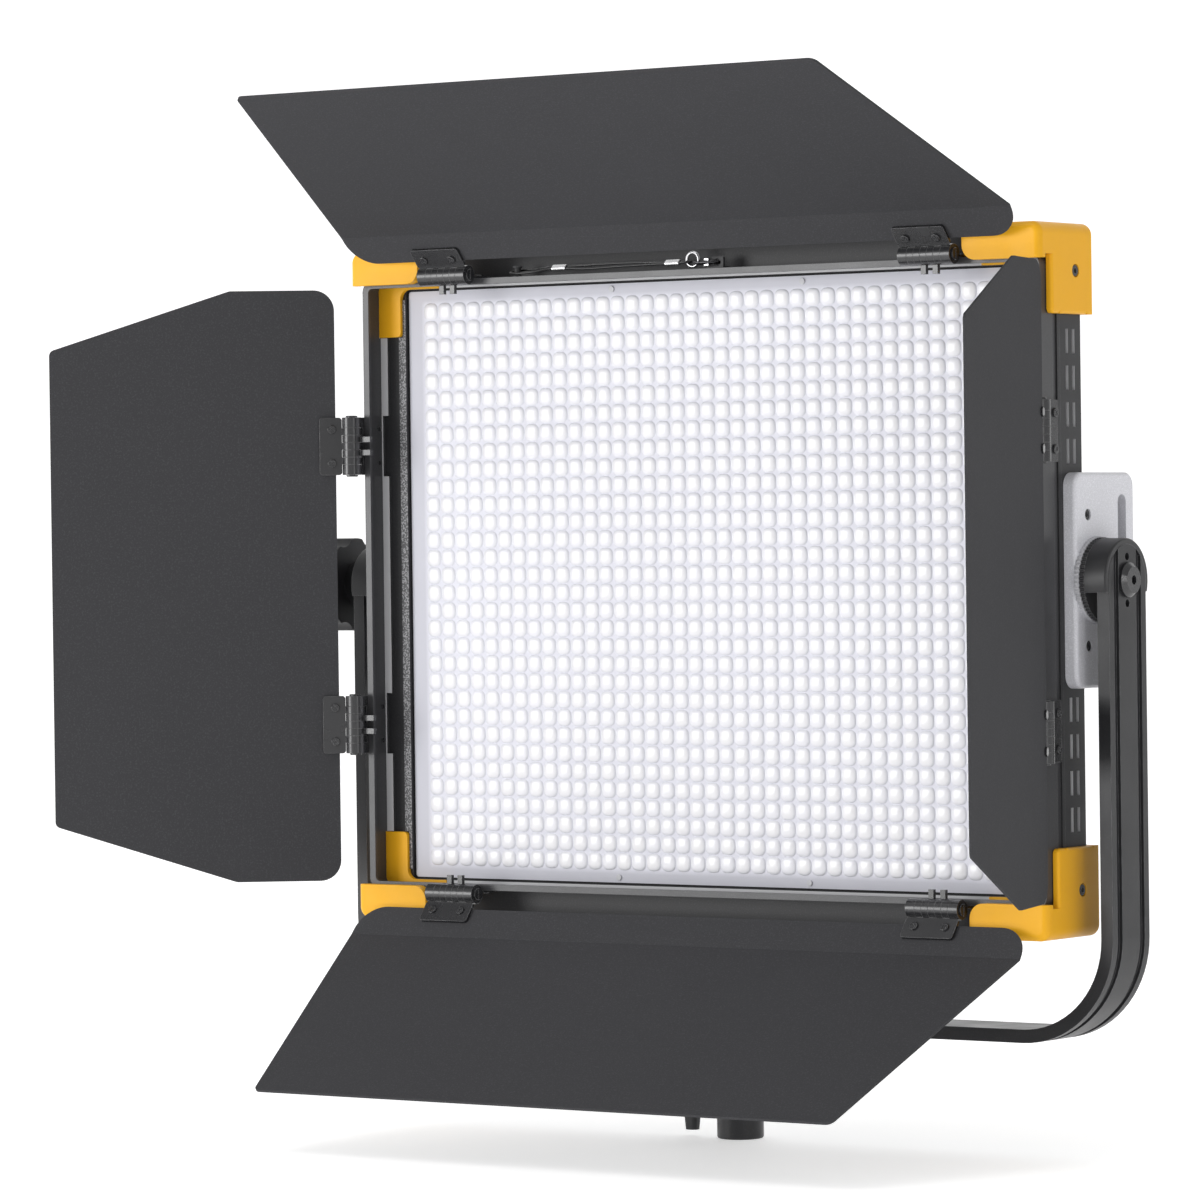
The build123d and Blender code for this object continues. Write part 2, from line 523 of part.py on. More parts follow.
def make_doors():
    door_of = {"left": side_door(), "top": end_door()}
    door_of["right"], door_of["bottom"] = door_of["left"], door_of["top"]
    half_door, pin = door_half(), hinge_pin()
    pins, into_frame, frame_halves = [], [], {}
    for name, (off, place, offsets, angle) in SIDES.items():
        swing = Rot(0, 0, -angle)
        PARTS[f"door_{name}"] = place(0) * swing * door_of[name]
        PARTS[f"door_hinges_{name}"] = [place(s) * swing * half_door for s in offsets]
        PARTS[f"door_screws_{name}"] = [place(s) * swing * p for s in offsets for p in door_screws()]
        frame_halves[name] = [place(s) * frame_half(off) for s in offsets]
        pins += [place(s) * pin for s in offsets]
        into_frame += [place(s) * p for s in offsets for p in frame_screws(off)]
    PARTS["frame_hinges_sides"] = frame_halves["left"] + frame_halves["right"]
    PARTS["frame_hinges_ends"] = frame_halves["top"] + frame_halves["bottom"]
    PARTS["hinge_pins"] = pins
    PARTS["frame_hinge_screws"] = into_frame


# ---- safety rope ------------------------------------------------------------------------------
ROPE_R = 0.75
ROPE_Y = LENS_Y - 14.0
ROPE_Z = TILT_Z + 194.0
FERRULE_LEFT, FERRULE_RIGHT, FERRULE_L = -99.0, -14.4, 10.0
LEAN_Y, LEAN_Z = 0.66, 0.54     # each strand's place beside the middle of the pair
STUD_X = -131.0
RING_X, RING_Z, RING_R, RING_WIRE = 0.2, TILT_Z + 195.3, 4.25, 0.95
HOOK_Z, HOOK_R, WIRE_R = TILT_Z + 193.1, 4.6, 0.9
HOOK_X, HOOK_END = 6.4, 15.0    # centres of the hook's two round ends
GATE_PIVOT = 13.8

# One rope: from the left ferrule along the upper strand, through the right ferrule and round the
# ring, back along the lower strand, and round the stud into the left ferrule again.
ROPE_ROUTE = [
    (-102.0, LEAN_Y, LEAN_Z), (-90.0, LEAN_Y, LEAN_Z), (-59.0, 0.9, 1.2), (-27.0, LEAN_Y, LEAN_Z),
    (-8.6, LEAN_Y, LEAN_Z), (-5.6, 2.9, 0.4), (-1.9, 2.1, 0.0), (-1.9, -2.1, 0.0), (-5.6, -2.9, -0.4),
    (-8.6, -LEAN_Y, -LEAN_Z), (-27.0, -LEAN_Y, -LEAN_Z), (-54.0, -0.9, -0.9), (-80.0, -1.1, -1.7),
    (-93.0, -LEAN_Y, -LEAN_Z), (-107.5, -LEAN_Y, -LEAN_Z), (-114.0, -3.9, -2.2), (-128.0, -4.2, -2.8),
    (-136.0, -2.4, -2.4), (-136.2, 2.6, -1.0), (-128.0, 4.3, -0.2), (-114.0, 4.0, 0.0),
    (-107.5, LEAN_Y, LEAN_Z), (-103.5, LEAN_Y, LEAN_Z),
]


def turn_between(a, b, c):
    return (Vector(*b) - Vector(*a)).get_angle(Vector(*c) - Vector(*b))


def route_radii(points):
    """The largest tangent arc that each corner's two runs allow."""
    radii = []
    for a, b, c in zip(points, points[1:], points[2:]):
        run = min((Vector(*b) - Vector(*a)).length, (Vector(*c) - Vector(*b)).length)
        radii.append(0.45 * run / tan(radians(turn_between(a, b, c)) / 2))
    return radii


def make_rope():
    points = [(x, ROPE_Y + y, ROPE_Z + z) for x, y, z in ROPE_ROUTE]
    radii = route_radii(points)
    print("safety rope arc radii:", [round(r, 1) for r in radii])
    path = FilletPolyline(*points, radius=radii)
    print("safety rope length:", round(path.length, 1))
    start = Plane(origin=path @ 0, z_dir=path % 0)
    return sweep(start * Circle(ROPE_R), path=path)


def make_ferrules():
    """Oval sleeves crimped over both strands."""
    sleeves = []
    for x in (FERRULE_LEFT, FERRULE_RIGHT):
        end = Plane(origin=(x - FERRULE_L / 2, ROPE_Y, ROPE_Z), x_dir=(0, LEAN_Y, LEAN_Z), z_dir=(1, 0, 0))
        sleeve = extrude(end * RectangleRounded(4.3, 2.6, 1.25), FERRULE_L)
        for up in (-1, 1):
            sleeve -= cyl_x(x - 8, x + 8, ROPE_Y + up * LEAN_Y, ROPE_Z + up * LEAN_Z, ROPE_R + 0.05)
        sleeves.append(sleeve)
    return sleeves


def make_rope_anchor():
    """A stud for the rope's left eye and a lug for the hook, both on the door frame's top wall."""
    base = TILT_Z + FRAME_H / 2
    stud = cyl_z(base, base + 0.8, STUD_X, ROPE_Y, 3.0) + cyl_z(base, base + 6.0, STUD_X, ROPE_Y, 2.0)
    stud += cyl_z(base + 5.4, base + 6.6, STUD_X, ROPE_Y, 3.0)
    hole_x = HOOK_END + HOOK_R - 0.8
    lug = block(hole_x - 3.8, hole_x + 4.2, ROPE_Y - 0.8, ROPE_Y + 0.8, base, HOOK_Z + 3.4)
    lug = rounded(lug, Axis.Y, 0.6)
    lug += block(hole_x - 5.8, hole_x + 6.2, ROPE_Y - 4, ROPE_Y + 4, base, base + 1.0)
    lug -= cyl_y(ROPE_Y - 3, ROPE_Y + 3, hole_x, HOOK_Z, 2.1)
    return stud, lug


def make_snap_hook():
    """The ring on the rope, and an oval wire hook lying flat, open on its front side for the gate."""
    ring_wire = Pos(RING_X, ROPE_Y, RING_Z) * Rot(90, 0, 0) * Torus(RING_R, RING_WIRE)
    flat = Plane(origin=(0, ROPE_Y, HOOK_Z))
    line = Polyline((8.2, -HOOK_R), (HOOK_X, -HOOK_R))
    line += ThreePointArc((HOOK_X, -HOOK_R), (HOOK_X - HOOK_R, 0), (HOOK_X, HOOK_R))
    line += Line((HOOK_X, HOOK_R), (HOOK_END, HOOK_R))
    line += ThreePointArc((HOOK_END, HOOK_R), (HOOK_END + HOOK_R, 0), (HOOK_END, -HOOK_R))
    wire = flat * line
    hook = sweep(Plane(origin=wire @ 0, z_dir=wire % 0) * Circle(WIRE_R), path=wire)
    x, y = GATE_PIVOT, ROPE_Y - HOOK_R
    ears = block(x - 1.3, x + 1.6, y - 1.3, y + 1.3, HOOK_Z - 2.1, HOOK_Z + 2.1)
    ears -= block(x - 3, x + 1.2, y - 3, y + 3, HOOK_Z - 1.3, HOOK_Z + 1.3)
    return [ring_wire, hook + ears + cyl_z(HOOK_Z - 2.1, HOOK_Z + 2.1, x, y, 0.5)]


def make_hook_gate():
    x, y = GATE_PIVOT, ROPE_Y - HOOK_R
    gate = cyl_x(8.6, x, y, HOOK_Z, 0.8) + cyl_z(HOOK_Z - 1.1, HOOK_Z + 1.1, x, y, 1.05)
    return gate - cyl_z(HOOK_Z - 3, HOOK_Z + 3, x, y, 0.55)


# ---- controls on the back ---------------------------------------------------------------------
KNOB_XS, BUTTON_XS, BUTTON_ZS = (40.0, 84.0), (-2.0,), (-14.0, 14.0)
ROCKER_X, ROCKER_PIVOT, ROCKER_REST = 146.0, HOUSING_BACK + 0.6, 8.0
INLET_X, SOCKET_XS = 194.0, (-196.0, -158.0)
DISPLAY_X, FASCIA_T = -62.0, 1.5


def make_housing():
    half = HOUSING_H / 2
    box = block(-SIDE_X, SIDE_X, BODY_BACK, HOUSING_BACK, TILT_Z - half, TILT_Z + half)
    box = fillet(box.edges().filter_by(Axis.X).group_by(Axis.Y)[-1], 6)
    hollow = block(-SIDE_X + 2.5, SIDE_X - 2.5, BODY_BACK - 1, HOUSING_BACK - 2.5, TILT_Z - half + 2.5, TILT_Z + half - 2.5)
    box -= hollow
    for side in (-1, 1):
        box -= cyl_x(side * SIDE_X - 6, side * SIDE_X + 6, 0, TILT_Z, 9)
    y0, y1 = HOUSING_BACK - 5, HOUSING_BACK + 1
    box -= [cyl_y(y0, y1, x, TILT_Z, 3.05) for x in KNOB_XS]
    box -= [cyl_y(y0, y1, x, TILT_Z + z, 5.05) for x in BUTTON_XS for z in BUTTON_ZS]
    box -= block(ROCKER_X - 10, ROCKER_X + 10, y0, y1, TILT_Z - 15, TILT_Z + 15)
    box -= block(INLET_X - 14, INLET_X + 14, y0, y1, TILT_Z - 10.5, TILT_Z + 10.5)
    box -= [cyl_y(y0, y1, x, TILT_Z, 12) for x in SOCKET_XS]
    box -= block(DISPLAY_X - 30, DISPLAY_X + 30, y0, y1, TILT_Z - 16, TILT_Z + 16)
    vents = []
    for up in (-1, 1):
        for i in range(30):
            vents.append(Pos(-217.5 + 15 * i, 20, TILT_Z + up * half) * Box(9, 16, 8))
    return box - vents


def make_fascia():
    fascia = block(-112, 112, HOUSING_BACK, HOUSING_BACK + FASCIA_T, TILT_Z - 38, TILT_Z + 38)
    fascia = rounded(fascia, Axis.Y, 4)
    fascia -= [cyl_y(40, 46, x, TILT_Z, 3.05) for x in KNOB_XS]
    fascia -= [cyl_y(40, 46, x, TILT_Z + z, 5.05) for x in BUTTON_XS for z in BUTTON_ZS]
    fascia -= block(DISPLAY_X - 30, DISPLAY_X + 30, 40, 46, TILT_Z - 16, TILT_Z + 16)
    return fascia


def make_display():
    glass = block(DISPLAY_X - 29.8, DISPLAY_X + 29.8, HOUSING_BACK - 1.2, HOUSING_BACK + 1.2, TILT_Z - 15.8, TILT_Z + 15.8)
    board = block(DISPLAY_X - 28, DISPLAY_X + 28, HOUSING_BACK - 4, HOUSING_BACK - 1.2, TILT_Z - 15, TILT_Z + 15)
    return glass + board


def make_control_knob(x):
    y = HOUSING_BACK + FASCIA_T + 0.3
    knob = cyl_y(y, y + 14, x, TILT_Z, 12)
    knob = fillet(knob.edges().filter_by(GeomType.CIRCLE).sort_by(Axis.Y)[-1], 1.5)
    for i in range(24):
        a = 2 * pi * i / 24
        knob -= cyl_y(y + 1.5, y + 15, x + 12.6 * sin(a), TILT_Z + 12.6 * cos(a), 1.0)
    knob -= Pos(x, y + 14, TILT_Z + 8) * Box(1.4, 1.2, 6)
    return knob + cyl_y(HOUSING_BACK - 6, y, x, TILT_Z, 3.0)


def make_button(z):
    cap = cyl_y(HOUSING_BACK - 4, HOUSING_BACK + 4, BUTTON_XS[0], TILT_Z + z, 5.0)
    return fillet(cap.edges().filter_by(GeomType.CIRCLE).sort_by(Axis.Y)[-1], 0.8)


def make_switch_frame():
    """The switch's frame, with the two holes its rocker swings in."""
    z0, z1 = TILT_Z - 14.9, TILT_Z + 14.9
    frame = block(ROCKER_X - 9.9, ROCKER_X + 9.9, HOUSING_BACK - 9, HOUSING_BACK + 0.5, z0, z1)
    frame += block(ROCKER_X - 12, ROCKER_X + 12, HOUSING_BACK, HOUSING_BACK + 2.6, z0 - 2, z1 + 2)
    frame -= block(ROCKER_X - 6.8, ROCKER_X + 6.8, HOUSING_BACK - 7, HOUSING_BACK + 5, z0 + 2.6, z1 - 2.6)
    return frame - cyl_x(ROCKER_X - 9, ROCKER_X + 9, ROCKER_PIVOT, TILT_Z, 1.55)


def make_rocker():
    points = [(-1.4, -10.4), (4.6, -10.4), (2.8, 0), (4.6, 10.4), (-1.4, 10.4), (-4.4, 0)]
    side = Plane(origin=(ROCKER_X - 6.5, 0, 0), x_dir=(0, 1, 0), z_dir=(1, 0, 0))
    outline = make_face(Polyline(*points, close=True))
    rocker = side * extrude(outline, 13)
    rocker += cyl_x(ROCKER_X - 8.8, ROCKER_X + 8.8, 0, 0, 1.5)
    return Pos(0, ROCKER_PIVOT, TILT_Z) * Rot(ROCKER_REST, 0, 0) * rocker


def make_inlet():
    """A mains inlet with three blades in a keyed well."""
    y = HOUSING_BACK
    body = block(INLET_X - 13.8, INLET_X + 13.8, y - 20, y + 0.5, TILT_Z - 10.3, TILT_Z + 10.3)
    flange = rounded(block(INLET_X - 18, INLET_X + 18, y, y + 2.4, TILT_Z - 14, TILT_Z + 14), Axis.Y, 3)
    well = block(INLET_X - 12.2, INLET_X + 12.2, y - 16, y + 3, TILT_Z - 8, TILT_Z + 8)
    well = chamfer(well.edges().filter_by(Axis.Y).group_by(Axis.Z)[-1], 3.5)
    inlet = body + flange - well
    for x, z in ((-7, -1.5), (0, 2.5), (7, -1.5)):
        inlet += block(INLET_X + x - 1, INLET_X + x + 1, y - 17, y - 6, TILT_Z + z - 2, TILT_Z + z + 2)
    return inlet


def make_data_sockets():
    """Two round five-pin sockets with square flanges."""
    sockets = []
    y = HOUSING_BACK
    for x in SOCKET_XS:
        body = cyl_y(y - 22, y + 0.5, x, TILT_Z, 11.8)
        body += rounded(block(x - 13, x + 13, y, y + 2.4, TILT_Z - 15.5, TILT_Z + 15.5), Axis.Y, 2.5)
        body -= cyl_y(y - 15, y + 3, x, TILT_Z, 9.6)
        pins = []
        for i in range(5):
            a = radians(180 + 45 * (i - 2)) + pi
            pins.append(cyl_y(y - 16, y - 8, x + 5 * sin(a), TILT_Z - 5 * cos(a), 1.2))
        sockets.append(body + pins)
    return sockets


def make_driver_board():
    board = block(-140, 200, 8, 9.6, TILT_Z - 45, TILT_Z + 45)
    lumps = [block(-120, -80, 9.6, 24, TILT_Z - 30, TILT_Z + 10), block(0, 46, 9.6, 20, TILT_Z - 34, TILT_Z + 6)]
    return board + lumps


def make_gasket():
    return ring(BEZEL_W - 0.1, BEZEL_H - 0.1, LENS_W + 0.1, LENS_H + 0.1, LENS_Y - 0.3, LENS_Y + 3, 2, 2)


def make_led_board():
    return frame_block(LENS_W - 5.6, LENS_H - 6.6, LENS_Y + 8.0, LENS_Y + 9.6)


def make_lens_panel():
    panel = rounded(frame_block(LENS_W, LENS_H, LENS_Y, LENS_Y + 3), Axis.Y, 2)
    for x in (-70, 70):
        for z in (-180.2, 180.2):
            panel -= cyl_y(LENS_Y - 1, LENS_Y + 4, x, TILT_Z + z, 1.05)
    return panel


# ---- the nodes --------------------------------------------------------------------------------
PARTS["yoke_bracket"] = make_yoke_bracket()
PARTS["arm_caps"] = list(make_arm_caps())
PARTS["outer_rosettes"] = list(mirrored_pair(toothed_disc(259.2, 262.2, ROSETTE_R, PIVOT_R + 0.05)))
PARTS["stand_receiver"] = make_receiver()
PARTS["receiver_bolt"] = make_receiver_bolt()
PARTS["clamp_knob"] = make_clamp_knob()
PARTS["clamp_screw"] = make_clamp_screw()
PARTS["tilt_knob"] = make_tilt_knob()
PARTS["tilt_lock_screw"] = make_lock_screw()
PARTS["pivot_bolt"] = make_pivot_bolt()
PARTS["inner_rosettes"] = list(mirrored_pair(toothed_disc(PLATE_X, 258.8, ROSETTE_R + 0.6, PIVOT_R + 0.05)))
PARTS["body_rim"] = make_body_rim()
PARTS["front_bezel"] = make_front_bezel()
PARTS["lens_panel"] = make_lens_panel()
PARTS["panel_gasket"] = make_gasket()
PARTS["panel_screws"] = make_panel_screws()
PARTS["led_board"] = make_led_board()
PARTS["heat_sink"] = make_heat_sink()
PARTS["rear_cover"] = make_rear_cover()
for corner, side, up in (("top_left", -1, 1), ("top_right", 1, 1), ("bottom_left", -1, -1), ("bottom_right", 1, -1)):
    PARTS[f"corner_guard_{corner}"] = make_guard(side, up)
PARTS["side_plate_left"] = make_side_plate(-1)
PARTS["side_plate_right"] = make_side_plate(1)
PARTS["side_screws"] = make_side_screws()
PARTS["barndoor_frame"] = make_door_frame()
make_doors()
PARTS["safety_rope"] = make_rope()
PARTS["rope_ferrules"] = make_ferrules()
PARTS["rope_anchor"] = list(make_rope_anchor())
PARTS["snap_hook"] = make_snap_hook()
PARTS["hook_gate"] = make_hook_gate()
PARTS["control_housing"] = make_housing()
PARTS["control_fascia"] = make_fascia()
PARTS["display"] = make_display()
PARTS["driver_board"] = make_driver_board()
PARTS["dimmer_knob"] = make_control_knob(KNOB_XS[0])
PARTS["colour_knob"] = make_control_knob(KNOB_XS[1])
PARTS["menu_button"] = make_button(BUTTON_ZS[1])
PARTS["mode_button"] = make_button(BUTTON_ZS[0])
PARTS["switch_frame"] = make_switch_frame()
PARTS["switch_rocker"] = make_rocker()
PARTS["power_inlet"] = make_inlet()
PARTS["data_sockets"] = make_data_sockets()

os.makedirs("parts", exist_ok=True)
for name, shape in PARTS.items():
    if isinstance(shape, (list, tuple)):
        shape = Compound(children=[p.solids()[0] if len(p.solids()) == 1 else p for p in shape])
    export_step(shape, f"parts/{name}.step")
print(len(PARTS), "nodes")
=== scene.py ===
import math
import random

import bmesh
import bpy
from mathutils import Matrix, Vector


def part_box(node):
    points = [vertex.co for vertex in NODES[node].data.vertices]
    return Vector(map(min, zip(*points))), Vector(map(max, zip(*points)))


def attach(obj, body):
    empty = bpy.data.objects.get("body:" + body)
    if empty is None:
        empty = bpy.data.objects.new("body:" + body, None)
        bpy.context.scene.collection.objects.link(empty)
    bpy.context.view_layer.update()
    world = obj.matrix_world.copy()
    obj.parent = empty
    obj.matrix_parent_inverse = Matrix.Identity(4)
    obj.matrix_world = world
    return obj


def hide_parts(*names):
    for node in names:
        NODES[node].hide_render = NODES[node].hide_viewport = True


# LED panel light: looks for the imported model. Metres, +X to the right seen from the front, the
# light shines along -Y, +Z up, with the origin at the stand socket's mouth.

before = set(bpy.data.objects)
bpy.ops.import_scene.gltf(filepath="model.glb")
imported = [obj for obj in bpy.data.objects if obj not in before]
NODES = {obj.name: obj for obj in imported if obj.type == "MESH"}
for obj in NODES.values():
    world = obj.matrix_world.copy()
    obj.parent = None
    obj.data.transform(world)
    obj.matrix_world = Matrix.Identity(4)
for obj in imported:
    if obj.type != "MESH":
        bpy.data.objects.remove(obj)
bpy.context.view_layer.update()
MM = 0.001

# ---- places read from the frame ---------------------------------------------------------------
PANEL_LOW, PANEL_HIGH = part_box("lens_panel")
LENS_FRONT = PANEL_LOW[1]   # the panel's front face, which the lenses stand on
PANEL_CENTRE = Vector((0, LENS_FRONT, (PANEL_LOW[2] + PANEL_HIGH[2]) / 2))

# ---- the lens grid, which is made here, and two levels that part.py has too -------------------
LENS_COLUMNS, LENS_ROWS, LENS_PITCH = 39, 32, 11 * MM
LENS_HEIGHT = 1.3 * MM
GRID_HALF = (LENS_COLUMNS * LENS_PITCH / 2, LENS_ROWS * LENS_PITCH / 2)
LIP_FACE = -28.8 * MM       # the speckled lips' face, further forward than the rest of the bezel
HOOK_LEVEL = 532.1 * MM     # height of the snap hook's wire

# ---- the camera: the photograph's viewpoint, measured from the lens panel's centre ------------
CAMERA_OFFSET = Vector((2.0237, -2.9487, 0.0362))
CAMERA_AZIMUTH, CAMERA_ELEVATION, CAMERA_ROLL = 35.529, 0.733, -0.736   # degrees
CAMERA_LENS, CAMERA_SENSOR = 177.1, 36.0                                # millimetres
CAMERA_REACH = 50

# ---- the stage: a floor that curves up into a backdrop, and area lights turned to the panel ---
FLOOR_NEAR, FLOOR_FAR, FLOOR_HALF_WIDTH = -9.0, 3.5, 12
BACKDROP_RADIUS, BACKDROP_STEPS, BACKDROP_TOP = 3.0, 12, 9.0
FLOOR_GLOW = 0.5
WORLD_STRENGTH = 0.5
LIGHTS = [                  # name, place, width and height, watts
    ("front", (-2.1, -3.0, 0.5), (1.5, 1.7), 56),
    ("strip_left", (-3.4, -1.2, 0.5), (0.3, 2.2), 16),
    ("strip_right", (3.0, -1.5, 0.6), (0.22, 2.0), 8),
    ("top", (-0.6, -1.6, 3.2), (1.4, 1.4), 18),
    ("side", (3.6, -0.2, 1.8), (0.8, 1.6), 3),
]

# ---- what the finishes share ------------------------------------------------------------------
# A noise's values run from 0 to 1, most of them near the middle. A span of them says how much of
# the surface a mottle covers: it fades in from the first value and is full at the second.
CLOUDS, WISPS, SPOTS = (0.35, 0.7), (0.4, 0.7), (0.52, 0.72)
BEVEL_SAMPLES = 6
EDGE_TURN = 0.12            # how much of the rounded normal's cosine is lost on a full edge
FADE = 0.1 * MM             # over which one finish gives way to the next


# ---- building blocks for materials ------------------------------------------------------------
class Recipe:
    """A material's node tree with short ways to add textures to its main shader."""

    def __init__(self, name, colour, roughness, metallic=0.0):
        self.material = bpy.data.materials.new(name)
        self.material.use_nodes = True
        self.nodes = self.material.node_tree.nodes
        self.links = self.material.node_tree.links
        self.shader = self.nodes["Principled BSDF"]
        self.set(Roughness=roughness, Metallic=metallic)
        self.colour = self.rgb(colour)
        self.roughness = roughness
        self.normal = None
        coordinates = self.add("ShaderNodeTexCoord")
        self.where, self.facing = coordinates.outputs["Object"], coordinates.outputs["Normal"]

    def set(self, **values):
        for name, value in values.items():
            self.shader.inputs[name.replace("_", " ")].default_value = value

    def add(self, kind, **settings):
        node = self.nodes.new(kind)
        for name, value in settings.items():
            setattr(node, name, value)
        return node

    def feed(self, node, **sources):
        """Links a socket or sets a value on each input, named or, as i0 or i1, numbered."""
        for name, source in sources.items():
            numbered = name[0] == "i" and name[1:].isdigit()
            socket = node.inputs[int(name[1:]) if numbered else name]
            if isinstance(source, bpy.types.NodeSocket):
                self.links.new(source, socket)
            else:
                socket.default_value = source
        return node

    def rgb(self, colour):
        node = self.add("ShaderNodeRGB")
        node.outputs[0].default_value = (*colour, 1)
        return node.outputs[0]

    def noise(self, size, detail=2.0, rough=0.5, stretch=None):
        """Noise whose features are about that many metres across, from 0 to 1."""
        node = self.add("ShaderNodeTexNoise")
        where = self.where
        if stretch:
            where = self.feed(self.add("ShaderNodeMapping"), Vector=self.where, Scale=stretch).outputs[0]
        self.feed(node, Vector=where, Scale=1 / size, Detail=detail, Roughness=rough)
        return node.outputs["Fac"]

    def place(self):
        """The object's own x, y and z, in metres, which are the frame's."""
        return self.feed(self.add("ShaderNodeSeparateXYZ"), Vector=self.where).outputs

    def facing_front(self):
        """1 where the object's own surface faces the front, -Y, and 0 where it doesn't."""
        split = self.feed(self.add("ShaderNodeSeparateXYZ"), Vector=self.facing)
        return self.ramp(split.outputs[1], -0.8, -0.95)

    def ramp(self, value, low, high, out_low=0.0, out_high=1.0):
        """Goes from one output to the other as the value goes from low to high, and no further."""
        node = self.add("ShaderNodeMapRange")
        self.feed(node, Value=value, i1=low, i2=high, i3=out_low, i4=out_high)
        return node.outputs[0]

    def math(self, operation, a, b=0.0):
        return self.feed(self.add("ShaderNodeMath", operation=operation), i0=a, i1=b).outputs[0]

    def times(self, a, b):
        return self.math("MULTIPLY", a, b)

    def mix(self, amount, first, second):
        node = self.add("ShaderNodeMix", data_type="RGBA")
        self.feed(node, i0=amount, i6=first, i7=second)
        return node.outputs[2]

    def rounded(self, radius):
        """The normal that the surface would have with its edges rounded so far."""
        return self.feed(self.add("ShaderNodeBevel", samples=BEVEL_SAMPLES), Radius=radius).outputs[0]

    def edges(self, radius):
        """1 on edges that stick out or in, 0 on flat ground, from how far a rounded normal turns."""
        soft = self.rounded(radius)
        hard = self.add("ShaderNodeNewGeometry").outputs["Normal"]
        dot = self.feed(self.add("ShaderNodeVectorMath", operation="DOT_PRODUCT"), i0=soft, i1=hard)
        return self.ramp(dot.outputs["Value"], 1.0 - EDGE_TURN, 1.0 - EDGE_TURN * 0.2, 1.0, 0.0)

    def tint(self, amount, colour):
        """Blends the colour so far towards another by an amount."""
        self.colour = self.mix(amount, self.colour, (*colour, 1))
        return self

    def mottle(self, size, detail, span, strength, colour):
        """Tints with noise of that size, over a span of its values and up to that strength."""
        return self.tint(self.ramp(self.noise(size, detail), *span, 0.0, strength), colour)

    def vary_roughness(self, value, low, high):
        self.roughness = self.ramp(value, 0.3, 0.7, low, high)
        return self

    def bump(self, height, strength, depth):
        node = self.add("ShaderNodeBump")
        self.feed(node, Height=height, Strength=strength, Distance=depth)
        if self.normal:
            self.links.new(self.normal, node.inputs["Normal"])
        self.normal = node.outputs[0]
        return self

    def soften(self, radius):
        """Rounds sharp edges in the shading only."""
        self.normal = self.rounded(radius)
        return self

    def done(self):
        self.links.new(self.colour, self.shader.inputs["Base Color"])
        if isinstance(self.roughness, bpy.types.NodeSocket):
            self.links.new(self.roughness, self.shader.inputs["Roughness"])
        if self.normal:
            self.links.new(self.normal, self.shader.inputs["Normal"])
        return self.material


# ---- materials --------------------------------------------------------------------------------
def coated_metal(name, colour, roughness, grain=0.5 * MM, edge_wear_highlight_colour=(0.12, 0.12, 0.125), depth=0.04 * MM,
                 shine=0.5, patches=0.06, edge_wear_highlight_strength=0.6, painted_light_span=None):
    """Powder-coated sheet or extrusion: a fine orange-peel grain, faint blotches, and edges lightened partly
    as rubbed wear and partly as a painted highlight.
    The last argument, if given, is a span of y and a grey level: within it the faces towards the front are
    lightened as painted light."""
    m = Recipe(name, colour, roughness)
    m.set(Specular_IOR_Level=shine)
    m.soften(0.35 * MM)
    lighter = [c * 1.5 for c in colour]
    m.mottle(grain * 1.6, 1.0, SPOTS, 0.55, lighter)
    m.mottle(60 * MM, 3.0, CLOUDS, patches * 2, lighter)
    # Edges are lightened partly as rubbed wear and partly as a painted highlight.
    edge_wear_highlight_amount = m.ramp(m.noise(9 * MM, 4.0), 0.4, 0.65, edge_wear_highlight_strength / 3, edge_wear_highlight_strength)
    m.tint(m.times(m.edges(0.5 * MM), edge_wear_highlight_amount), edge_wear_highlight_colour)
    # Painted light: front faces within the span of y, the frame's flange and the rim's slot walls, are
    # lightened where the lamps leave them in shade.
    if painted_light_span:
        low, high, painted_light_grey = painted_light_span
        _, y, _ = m.place()
        within = m.times(m.ramp(y, low - FADE, low), m.ramp(y, high + FADE, high))
        m.tint(m.times(within, m.facing_front()), (painted_light_grey, painted_light_grey, painted_light_grey * 1.03))
    m.vary_roughness(m.noise(25 * MM, 4.0), roughness - patches, roughness + patches)
    m.bump(m.noise(grain, 1.0), 0.5, depth)
    return m.done()


def moulded_plastic(name, colour, roughness, grain=0.35 * MM, tone=0.9, shine=0.5, edge_wear_highlight_colour=None):
    """Moulded plastic with a fine spark-eroded grain. Tone is its clouds' share of the colour, and the edge
    colour, if any, that of its edges, lightened partly as rubbed wear and partly as a painted highlight."""
    m = Recipe(name, colour, roughness)
    m.soften(0.4 * MM)
    m.mottle(45 * MM, 2.0, CLOUDS, 0.5, [c * tone for c in colour])
    m.mottle(2.5 * MM, 3.0, (0.45, 0.75), 0.25, [c * 0.93 for c in colour])
    # Edges are lightened partly as rubbed wear and partly as a painted highlight.
    if edge_wear_highlight_colour:
        m.tint(m.times(m.edges(0.4 * MM), 0.7), edge_wear_highlight_colour)
    m.vary_roughness(m.noise(14 * MM, 3.0), roughness - 0.05, roughness + 0.07)
    m.bump(m.noise(grain, 2.0), 0.35, 0.03 * MM)
    m.set(Specular_IOR_Level=shine)
    return m.done()


def machined_metal(name, colour, roughness, along=(1, 1, 1)):
    """Bare turned or drawn metal with fine tool lines."""
    m = Recipe(name, colour, roughness, metallic=1.0)
    m.soften(0.15 * MM)
    lines = m.noise(0.5 * MM, 3.0, 0.6, along)
    m.mottle(6 * MM, 3.0, WISPS, 0.4, [c * 0.75 for c in colour])
    m.vary_roughness(lines, roughness - 0.07, roughness + 0.1)
    m.bump(lines, 0.3, 0.01 * MM)
    return m.done()


